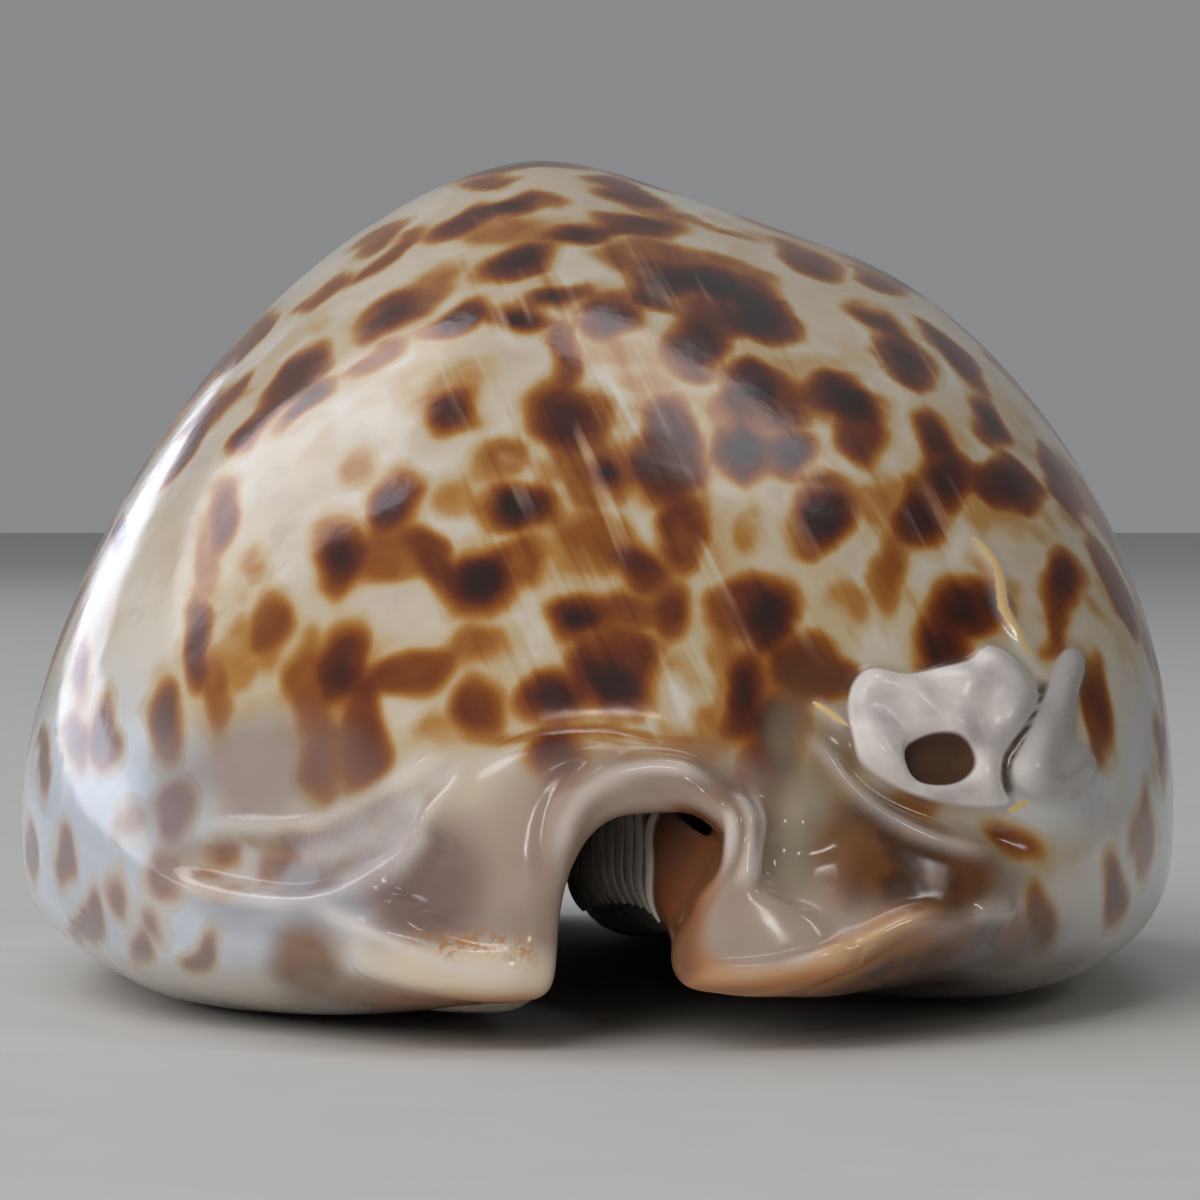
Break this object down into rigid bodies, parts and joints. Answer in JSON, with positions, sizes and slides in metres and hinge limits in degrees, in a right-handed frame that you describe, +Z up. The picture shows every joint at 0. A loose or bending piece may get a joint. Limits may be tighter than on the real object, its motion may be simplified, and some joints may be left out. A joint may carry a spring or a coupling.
{
  "type": "cowrie shell",
  "caption": "Glossy spotted cowrie shell: a hollow egg-shaped dome on a flattened base, with a long slit between rolled lips and an arched canal at each end.",
  "frame": {"origin": "bottom centre of the shell's bounding box, on the surface that it rests on", "axes": "+Y from the front (siphonal) end to the hinder end, +Z up through the back, +X towards the inner lip's side, so the outer lip is on -X"},
  "size_m": [0.0576, 0.08, 0.0414],
  "materials": {
    "shell_enamel": "glossy enamel, cream with soft-edged brown spots"
  },
  "bodies": {
    "root": {"cowrie_shell": "shell_enamel"}
  },
  "joints": []
}
